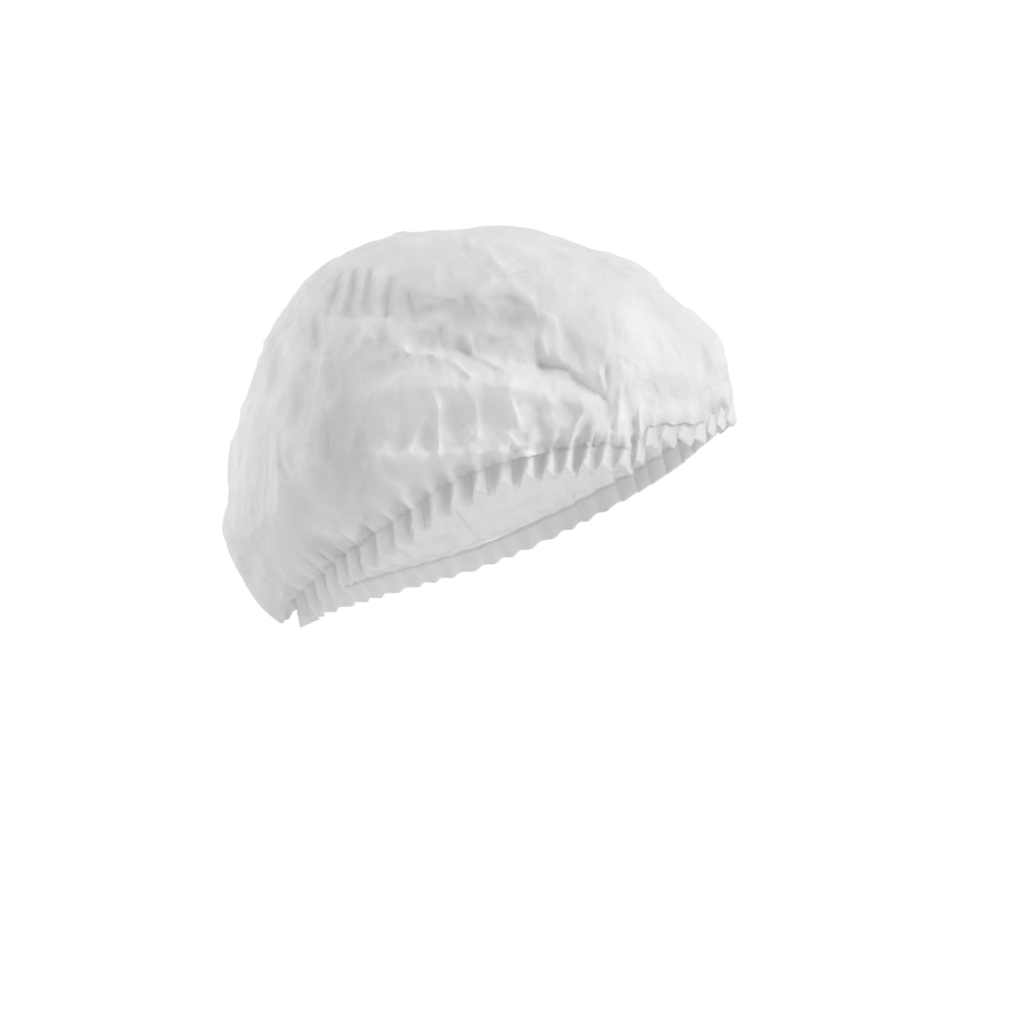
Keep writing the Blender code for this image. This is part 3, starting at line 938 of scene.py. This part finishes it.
def crumple(obj, slack, frames):
    """Lets the cloth buckle over its own form, held at the rim and kept full by air."""
    cloth = obj.modifiers.new("Cloth", "CLOTH")
    settings = cloth.settings
    settings.quality = 5
    settings.mass = 0.15
    settings.air_damping = 2.0
    settings.tension_stiffness = 25.0
    settings.compression_stiffness = 25.0
    settings.shear_stiffness = 12.0
    settings.bending_stiffness = 0.15
    settings.tension_damping = 8.0
    settings.compression_damping = 8.0
    settings.shear_damping = 8.0
    settings.bending_damping = 0.5
    settings.shrink_min = -slack
    settings.use_pressure = True
    settings.uniform_pressure_force = 3.0
    settings.effector_weights.gravity = 0.0
    settings.vertex_group_mass = "held"
    cloth.collision_settings.use_collision = False
    cloth.collision_settings.use_self_collision = False
    cloth.point_cache.frame_start = 1
    cloth.point_cache.frame_end = frames
    for number in range(1, frames + 1):
        bpy.context.scene.frame_set(number)
    apply_modifiers(obj)
    bpy.context.scene.frame_set(1)


def group_node(tree, kind, **values):
    """A node with values set on its named inputs."""
    node = tree.nodes.new(kind)
    for name, value in values.items():
        node.inputs[name.replace("_", " ")].default_value = value
    return node


def math_node(tree, operation, first, second):
    """A Math node fed by sockets or numbers, and its output."""
    node = tree.nodes.new("ShaderNodeMath")
    node.operation = operation
    for socket, value in zip(node.inputs, (first, second)):
        if isinstance(value, (int, float)):
            socket.default_value = value
        else:
            tree.links.new(value, socket)
    return node.outputs[0]


def nonwoven_group():
    """The cloth's fine creases, bond points and cloudy web, and the painted shade and painted highlight of
    its folds, used by all three materials.
    """
    name = "nonwoven_cloth"
    if name in bpy.data.node_groups:
        return bpy.data.node_groups[name]
    tree = bpy.data.node_groups.new(name, "ShaderNodeTree")
    sockets = {"Crease Size": 0.014, "Crease Depth": 1.0, "Bond Pitch": 0.0013, "Bond Depth": 0.02}
    for socket, value in sockets.items():
        made = tree.interface.new_socket(socket, in_out="INPUT", socket_type="NodeSocketFloat")
        made.default_value = value
    for socket in ("Height", "Tone"):
        tree.interface.new_socket(socket, in_out="OUTPUT", socket_type="NodeSocketFloat")
    given = tree.nodes.new("NodeGroupInput")
    result = tree.nodes.new("NodeGroupOutput")
    place = tree.nodes.new("ShaderNodeTexCoord").outputs["Object"]
    bend = group_node(tree, "ShaderNodeTexNoise", Scale=34.0, Detail=2.0)
    tree.links.new(place, bend.inputs["Vector"])
    bent = tree.nodes.new("ShaderNodeVectorMath")
    bent.operation = "MULTIPLY_ADD"
    bent.inputs[1].default_value = (BEND_REACH, BEND_REACH, BEND_REACH)
    tree.links.new(bend.outputs["Color"], bent.inputs[0])
    tree.links.new(place, bent.inputs[2])
    inverse = math_node(tree, "DIVIDE", 1.0, given.outputs["Crease Size"])
    height = None
    for share, finer in ((1.0, 1.0), (0.5, 2.3)):
        cells = group_node(tree, "ShaderNodeTexVoronoi")
        tree.links.new(bent.outputs["Vector"], cells.inputs["Vector"])
        tree.links.new(math_node(tree, "MULTIPLY", inverse, finer), cells.inputs["Scale"])
        part = math_node(tree, "MULTIPLY", cells.outputs["Distance"], share / finer)
        height = part if height is None else math_node(tree, "ADD", height, part)
    height = math_node(tree, "MULTIPLY", height, given.outputs["Crease Depth"])
    points = group_node(tree, "ShaderNodeTexVoronoi", Randomness=0.15)
    tree.links.new(place, points.inputs["Vector"])
    tree.links.new(math_node(tree, "DIVIDE", 1.0, given.outputs["Bond Pitch"]), points.inputs["Scale"])
    bonds = math_node(tree, "MULTIPLY", points.outputs["Distance"], given.outputs["Bond Depth"])
    tree.links.new(math_node(tree, "ADD", height, bonds), result.inputs["Height"])
    web = group_node(tree, "ShaderNodeTexNoise", Scale=70.0, Detail=5.0, Roughness=0.65)
    tree.links.new(place, web.inputs["Vector"])
    # The folds' painted shade and painted highlight, read from their attribute, go into the tone
    folds = tree.nodes.new("ShaderNodeAttribute")
    folds.attribute_name = SHADE
    cloud = math_node(tree, "MULTIPLY", web.outputs["Fac"], CLOUD_TONE)
    tone = math_node(tree, "ADD", math_node(tree, "MULTIPLY", folds.outputs["Fac"], FOLD_SHADE_SHARE), cloud)
    tree.links.new(math_node(tree, "ADD", tone, BASE_TONE), result.inputs["Tone"])
    return tree


def nonwoven_material(name, colour, shine_through):
    """White non-woven cloth that lets some light through, with painted shade and painted highlight in its
    colour.
    """
    roughness, crease_size, crease_depth = FINISHES[name]
    mat = bpy.data.materials.new(name)
    mat.use_nodes = True
    nodes, links = mat.node_tree.nodes, mat.node_tree.links
    shader = nodes["Principled BSDF"]
    shader.inputs["Roughness"].default_value = roughness
    shader.inputs["Specular IOR Level"].default_value = 0.25
    cloth = nodes.new("ShaderNodeGroup")
    cloth.node_tree = nonwoven_group()
    cloth.inputs["Crease Size"].default_value = crease_size
    cloth.inputs["Crease Depth"].default_value = crease_depth
    # The colour runs from painted shade in the hollows to a painted highlight on the ridges
    ramp = nodes.new("ShaderNodeValToRGB")
    ramp.color_ramp.elements.new(0.5)
    for element, (place, share) in zip(ramp.color_ramp.elements, SHADE_TONES):
        element.position = place
        element.color = (*(min(1.0, share * part) for part in colour), 1.0)
    links.new(cloth.outputs["Tone"], ramp.inputs["Fac"])
    links.new(ramp.outputs["Color"], shader.inputs["Base Color"])
    bump = nodes.new("ShaderNodeBump")
    bump.inputs["Strength"].default_value = 1.0
    bump.inputs["Distance"].default_value = BUMP_DEPTH
    links.new(cloth.outputs["Height"], bump.inputs["Height"])
    links.new(bump.outputs["Normal"], shader.inputs["Normal"])
    through = nodes.new("ShaderNodeBsdfTranslucent")
    through.inputs["Color"].default_value = (*colour, 1.0)
    links.new(bump.outputs["Normal"], through.inputs["Normal"])
    mix = nodes.new("ShaderNodeMixShader")
    mix.inputs["Fac"].default_value = shine_through
    links.new(shader.outputs["BSDF"], mix.inputs[1])
    links.new(through.outputs["BSDF"], mix.inputs[2])
    links.new(mix.outputs["Shader"], nodes["Material Output"].inputs["Surface"])
    return mat


def camera_axes(stage):
    """Right, up and back of the camera, which looks up at the rim and is rolled with the picture."""
    below = stage.camera_below
    back = Vector((0.0, -math.cos(below), -math.sin(below)))
    level_up = Vector((0.0, -math.sin(below), math.cos(below)))
    along = Vector((1.0, 0.0, 0.0))
    roll = stage.camera_roll
    right = along * math.cos(roll) - level_up * math.sin(roll)
    up = along * math.sin(roll) + level_up * math.cos(roll)
    return right, up, back


def creases(place, size):
    """Sharp-edged creases of about a size, between 0 and 1."""
    finely, far = CREASE_WANDER
    twist = noise.noise_vector(place * (finely / size)) * (far * size)
    return 1.0 - min(1.0, CREASE_SHARPNESS * abs(noise.noise((place + twist) / size)))


def fine_folds(point, axes):
    """The small folds all over the crown, drawn out up the picture, about -1 to 1."""
    place = Vector([draw * point.dot(axis) for draw, axis in zip(CREASE_DRAW, axes)])
    return sum(share * creases(place * zoom, size) for share, size, zoom in CREASE_LAYERS) - CREASE_MEAN


def picture_place(point, stage):
    """Where a point lies in the picture, in 1024 points each way."""
    right, up, back = camera_axes(stage)
    offset = point - CAMERA_TARGET
    shrink = stage.camera_distance / (stage.camera_distance - offset.dot(back))
    scale = PICTURE_POINTS / stage.picture_width * shrink
    return PICTURE_POINTS / 2 + offset.dot(right) * scale, PICTURE_POINTS / 2 - offset.dot(up) * scale


def drawn_folds(x, y):
    """How far the drawn folds push the cloth out at a place in the picture, and the painted shade or painted
    light they put there.
    """
    height, shade = 0.0, 0.0
    for x0, y0, x1, y1, width, depth, lean, light in STROKES:
        margin = FOLD_MARGIN * width
        if not min(x0, x1) - margin < x < max(x0, x1) + margin:
            continue
        if not min(y0, y1) - margin < y < max(y0, y1) + margin:
            continue
        run_x, run_y = x1 - x0, y1 - y0
        part = ((x - x0) * run_x + (y - y0) * run_y) / (run_x**2 + run_y**2)
        part = min(1.0, max(0.0, part))
        off_x, off_y = x - x0 - part * run_x, y - y0 - part * run_y
        distance = math.hypot(off_x, off_y)
        side = 1.0 if run_x * off_y - run_y * off_x > 0 else -1.0
        part = math.exp(-((distance / (width * (1.0 - side * lean))) ** FOLD_POWER))
        height += depth * part
        shade += light * part
    for middle_x, middle_y, half_x, half_y, turn, depth in PANELS:
        off_x, off_y = x - middle_x, y - middle_y
        if abs(off_x) > half_x + half_y or abs(off_y) > half_x + half_y:
            continue
        cos, sin = math.cos(math.radians(turn)), math.sin(math.radians(turn))
        across, down = off_x * cos + off_y * sin, off_y * cos - off_x * sin
        inside = 1.0 - (across / half_x) ** 2 - (down / half_y) ** 2
        part = depth * max(0.0, inside) ** PANEL_POWER
        height -= part
        shade -= PANEL_SHADE * part / FULL_SHADE_HEIGHT
    return height * MM, shade


class CAP_OT_make_crown(bpy.types.Operator):
    """Makes the crumpled crown."""

    bl_idname = "cap.make_crown"
    bl_label = "Make crown"

    def execute(self, context):
        shape, cloth, stage = context.scene.cap_shape, context.scene.cap_cloth, context.scene.cap_stage
        cells = shape.cells
        mesh = bmesh.new()
        bmesh.ops.create_grid(mesh, x_segments=cells, y_segments=cells, size=1.0, calc_uvs=True)
        held = []
        # This attribute holds painted shade and painted highlight
        light = mesh.verts.layers.float.new(SHADE)
        for vert in mesh.verts:
            x, y = vert.co.x, vert.co.y
            y -= NEAR_FINER * (1.0 - y * y)
            reach = max(abs(x), abs(y))
            up = (1.0 - min(1.0, reach)) ** RIM_FINER
            around = around_square(x, y)
            vert.co = gathered_point(around, up, shape)
            vert[light] = gather_shade(around, up * PROFILE_LENGTH + shape.hem_height, shape)
            if reach > 1.0 - 0.5 / cells:
                held.append(vert.index)
        obj = cloth_object("crown_cloth", mesh, [])
        group = obj.vertex_groups.new(name="held")
        group.add(held, 1.0, "REPLACE")
        rest = [vert.co.copy() for vert in obj.data.vertices]
        crumple(obj, shape.slack, CRUMPLE_FRAMES)
        moves = [vert.co - before for vert, before in zip(obj.data.vertices, rest)]
        side = cells + 1
        rows = [moves[row * side : (row + 1) * side] for row in range(side)]
        even = evened_out(rows, EVEN_CELLS)
        for index, vert in enumerate(obj.data.vertices):
            move = moves[index] - even[index // side][index % side]
            if move.length > shape.crumple_reach:
                move = move * (shape.crumple_reach / move.length)
            vert.co = rest[index] + move
        fine = obj.modifiers.new("Smooth", "SUBSURF")
        fine.levels = 1
        fine.render_levels = 1
        apply_modifiers(obj)
        axes = camera_axes(stage)
        moved, shades = [], []
        foot_shade = obj.data.attributes[SHADE].data
        for vert in obj.data.vertices:
            facing = smoothstep((vert.normal.dot(axes[2]) - FACING_START) / FACING_SPAN)
            height, shade = 0.0, 0.0
            if facing > 0.0:
                height, shade = drawn_folds(*picture_place(vert.co, stage))
            calm = CALM_SHARE + (1.0 - CALM_SHARE) * smoothstep((CALM_END - vert.co.x) / CALM_SPAN)
            above = smoothstep((vert.co.z - CREASE_START) / CREASE_SPAN)
            fold = calm * above * fine_folds(vert.co, axes)
            push = shape.fold_gain * facing * height
            moved.append(vert.co + axes[2] * push + vert.normal * shape.crease_depth * fold)
            # Painted shade and painted light from the drawn folds, the fine creases and the gathers
            shades.append(facing * shade + CREASE_SHADE * fold + foot_shade[vert.index].value)
        for vert, place, shade, foot in zip(obj.data.vertices, moved, shades, foot_shade):
            vert.co = place
            foot.value = min(1.0, max(-1.0, shade))
        obj.vertex_groups.clear()
        obj.data.shade_smooth()
        mat = nonwoven_material("crown_nonwoven", cloth.crown_colour, cloth.shine_through)
        obj.data.materials.append(mat)
        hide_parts("crown")
        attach(obj, ONLY_BODY)
        return {"FINISHED"}


def hem_corner(around, step, shape):
    """A point on the hem's cloth."""
    height = along_table(HEM_PROFILE, step, 1)
    offset = along_table(HEM_PROFILE, step, 2) * shape.hem_thickness
    share = min(1.0, max(0.0, height))
    low, high = RIM.at(around), ring_at(0.0).at(around)
    out = flat_outward(RIM, around).lerp(flat_outward(ring_at(0.0), around), share).normalized()
    ridge = wave(around, share * shape.hem_height, shape.far_gathers)
    shift = ridge * gather_depth(around, 0.0, shape)
    point = low.lerp(high, share) + out * (shift + offset)
    side = 1.0 if around % 1.0 <= 0.5 else FAR_SCALLOP
    scallop = side * shape.scallop * ridge * (1.0 - smoothstep(height / SCALLOP_FADE)) * tip_share(around)
    point.z = height * shape.hem_height + rim_lift(around, shape.hem_height) + scallop
    return point


class CAP_OT_make_hems(bpy.types.Operator):
    """Makes the two gathered hems."""

    bl_idname = "cap.make_hems"
    bl_label = "Make hems"

    def execute(self, context):
        shape, cloth = context.scene.cap_shape, context.scene.cap_cloth
        mat = nonwoven_material("hem_nonwoven", cloth.hem_colour, cloth.shine_through)
        last_step = HEM_PROFILE[-1][0]
        cut = TIP_CUT / RIM.length()
        for name, start in (("hem_near", 0.0), ("hem_far", 0.5)):
            mesh = bmesh.new()
            long_way, round_fold = HEM_CELLS
            bmesh.ops.create_grid(mesh, x_segments=long_way, y_segments=round_fold, size=1.0, calc_uvs=True)
            light = mesh.verts.layers.float.new(SHADE)
            for vert in mesh.verts:
                along, step = (vert.co.x + 1) / 2, (vert.co.y + 1) / 2 * last_step
                around = start + min(0.5 - cut, max(cut, along / 2))
                vert.co = hem_corner(around, step, shape)
                height = min(1.0, max(0.0, along_table(HEM_PROFILE, step, 1))) * shape.hem_height
                # Painted shade and painted highlight of the gathers
                vert[light] = gather_shade(around, height, shape)
                # A painted shadow along the top edge of the hem's inner layer
                if step > HEM_PROFILE[-3][0]:
                    vert[light] -= INNER_EDGE_SHADE
            obj = cloth_object(name + "_band", mesh, [mat])
            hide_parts(name)
            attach(obj, ONLY_BODY)
        return {"FINISHED"}


class CAP_OT_make_tabs(bpy.types.Operator):
    """Makes the two welded end tabs."""

    bl_idname = "cap.make_tabs"
    bl_label = "Make end tabs"

    def execute(self, context):
        cloth = context.scene.cap_cloth
        mat = nonwoven_material("weld_nonwoven", cloth.weld_colour, cloth.weld_shine)
        for name, (low, high) in TAB_BOXES.items():
            mesh = bmesh.new()
            bmesh.ops.create_cube(mesh, size=1.0)
            bmesh.ops.scale(mesh, verts=mesh.verts, vec=high - low)
            for axis, cuts in zip((0, 2), TAB_CUTS):
                spans = [(edge, edge.verts[0].co[axis] - edge.verts[1].co[axis]) for edge in mesh.edges]
                split = [edge for edge, span in spans if abs(span) > TAB_CUT]
                bmesh.ops.subdivide_edges(mesh, edges=split, cuts=cuts, use_grid_fill=True)
            half = (high - low) / 2
            for vert in mesh.verts:
                down = 0.5 - vert.co.z / half.z / 2
                rib = math.cos(vert.co.x / half.x * TAB_RIBS * math.pi)
                vert.co.y *= TAB_THICKNESS + TAB_RIB_DEPTH * rib * down
                vert.co.x *= TAB_TOP_WIDTH + TAB_FLARE * down**TAB_FLARE_POWER
                vert.co.z = TAB_STRETCH * vert.co.z + TAB_RAISE
                vert.co.x += TIP_TUCK
            bmesh.ops.translate(mesh, verts=mesh.verts, vec=(high + low) / 2)
            obj = cloth_object(name + "_weld", mesh, [mat])
            soft = obj.modifiers.new("Soft edges", "BEVEL")
            soft.width = TAB_EDGE
            soft.segments = 2
            soft.limit_method = "ANGLE"
            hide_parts(name)
            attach(obj, ONLY_BODY)
        return {"FINISHED"}


class CAP_OT_make_stage(bpy.types.Operator):
    """Makes the floor, the light and the camera."""

    bl_idname = "cap.make_stage"
    bl_label = "Make stage"

    def execute(self, context):
        scene, stage = context.scene, context.scene.cap_stage
        right, up, back = camera_axes(stage)
        lens = bpy.data.cameras.new("camera")
        lens.sensor_width = 36.0
        lens.lens = lens.sensor_width * stage.camera_distance / stage.picture_width
        lens.clip_start = 0.01
        lens.clip_end = 50.0
        camera = bpy.data.objects.new("camera", lens)
        placed = Matrix((right, up, back)).transposed().to_4x4()
        placed.translation = CAMERA_TARGET + back * stage.camera_distance
        camera.matrix_world = placed
        scene.collection.objects.link(camera)
        scene.camera = camera

        mesh = bmesh.new()
        bmesh.ops.create_grid(mesh, x_segments=1, y_segments=1, size=stage.floor_size / 2)
        bmesh.ops.translate(mesh, verts=mesh.verts, vec=(0.0, 0.0, -stage.floor_drop))
        paint = bpy.data.materials.new("floor_paint")
        paint.use_nodes = True
        coat = paint.node_tree.nodes["Principled BSDF"]
        coat.inputs["Base Color"].default_value = (*stage.floor_colour, 1.0)
        coat.inputs["Roughness"].default_value = 0.9
        cloth_object("floor", mesh, [paint])

        world =bpy.data.worlds.new("studio")
        world.use_nodes = True
        nodes, links = world.node_tree.nodes, world.node_tree.links
        room = nodes["Background"]
        room.inputs["Color"].default_value = (1.0, 1.0, 1.0, 1.0)
        room.inputs["Strength"].default_value = stage.room_light
        seen = nodes.new("ShaderNodeBackground")
        seen.inputs["Color"].default_value = (1.0, 1.0, 1.0, 1.0)
        seen.inputs["Strength"].default_value = 1.0
        path = nodes.new("ShaderNodeLightPath")
        mix = nodes.new("ShaderNodeMixShader")
        links.new(path.outputs["Is Camera Ray"], mix.inputs["Fac"])
        links.new(room.outputs["Background"], mix.inputs[1])
        links.new(seen.outputs["Background"], mix.inputs[2])
        links.new(mix.outputs["Shader"], nodes["World Output"].inputs["Surface"])
        scene.world = world

        for name, across, high, front, size, energy in LIGHTS:
            lamp = bpy.data.lights.new(name, "AREA")
            lamp.shape = "DISK"
            lamp.size = size
            lamp.energy = energy
            light = bpy.data.objects.new(name, lamp)
            aim = (right * across + up * high + back * front).normalized()
            light.location = CAMERA_TARGET + aim * LIGHT_DISTANCE
            light.rotation_euler = aim.to_track_quat("Z", "Y").to_euler()
            scene.collection.objects.link(light)
        scene.view_settings.view_transform = "Standard"
        return {"FINISHED"}


class CAP_OT_note_sheet(bpy.types.Operator):
    """Stands for noting the flat sheet that the crown, hems and welds are gathered from, but does nothing."""

    bl_idname = "cap.note_sheet"
    bl_label = "Note the flat sheet"

    def execute(self, context):
        return {"FINISHED"}


class CAP_PT_sidebar(bpy.types.Panel):
    """Lists the steps in the sidebar."""

    bl_label = "Hair cap"
    bl_idname = "CAP_PT_sidebar"
    bl_space_type = "VIEW_3D"
    bl_region_type = "UI"
    bl_category = "Hair Cap"

    def draw(self, context):
        column = self.layout.column()
        for step in STEPS:
            column.operator(step)


STEPS = ("cap.make_stage", "cap.make_crown", "cap.make_hems", "cap.make_tabs", "cap.note_sheet")
CLASSES = (
    CapShape,
    CapCloth,
    CapStage,
    CAP_OT_make_crown,
    CAP_OT_make_hems,
    CAP_OT_make_tabs,
    CAP_OT_make_stage,
    CAP_OT_note_sheet,
    CAP_PT_sidebar,
)


def register():
    for cls in CLASSES:
        bpy.utils.register_class(cls)
    bpy.types.Scene.cap_shape = PointerProperty(type=CapShape)
    bpy.types.Scene.cap_cloth = PointerProperty(type=CapCloth)
    bpy.types.Scene.cap_stage = PointerProperty(type=CapStage)


def unregister():
    del bpy.types.Scene.cap_stage
    del bpy.types.Scene.cap_cloth
    del bpy.types.Scene.cap_shape
    for cls in reversed(CLASSES):
        bpy.utils.unregister_class(cls)


def main():
    register()
    bpy.ops.cap.make_stage()
    bpy.ops.cap.make_crown()
    bpy.ops.cap.make_hems()
    bpy.ops.cap.make_tabs()
    bpy.ops.cap.note_sheet()


if __name__ == "__main__":
    main()
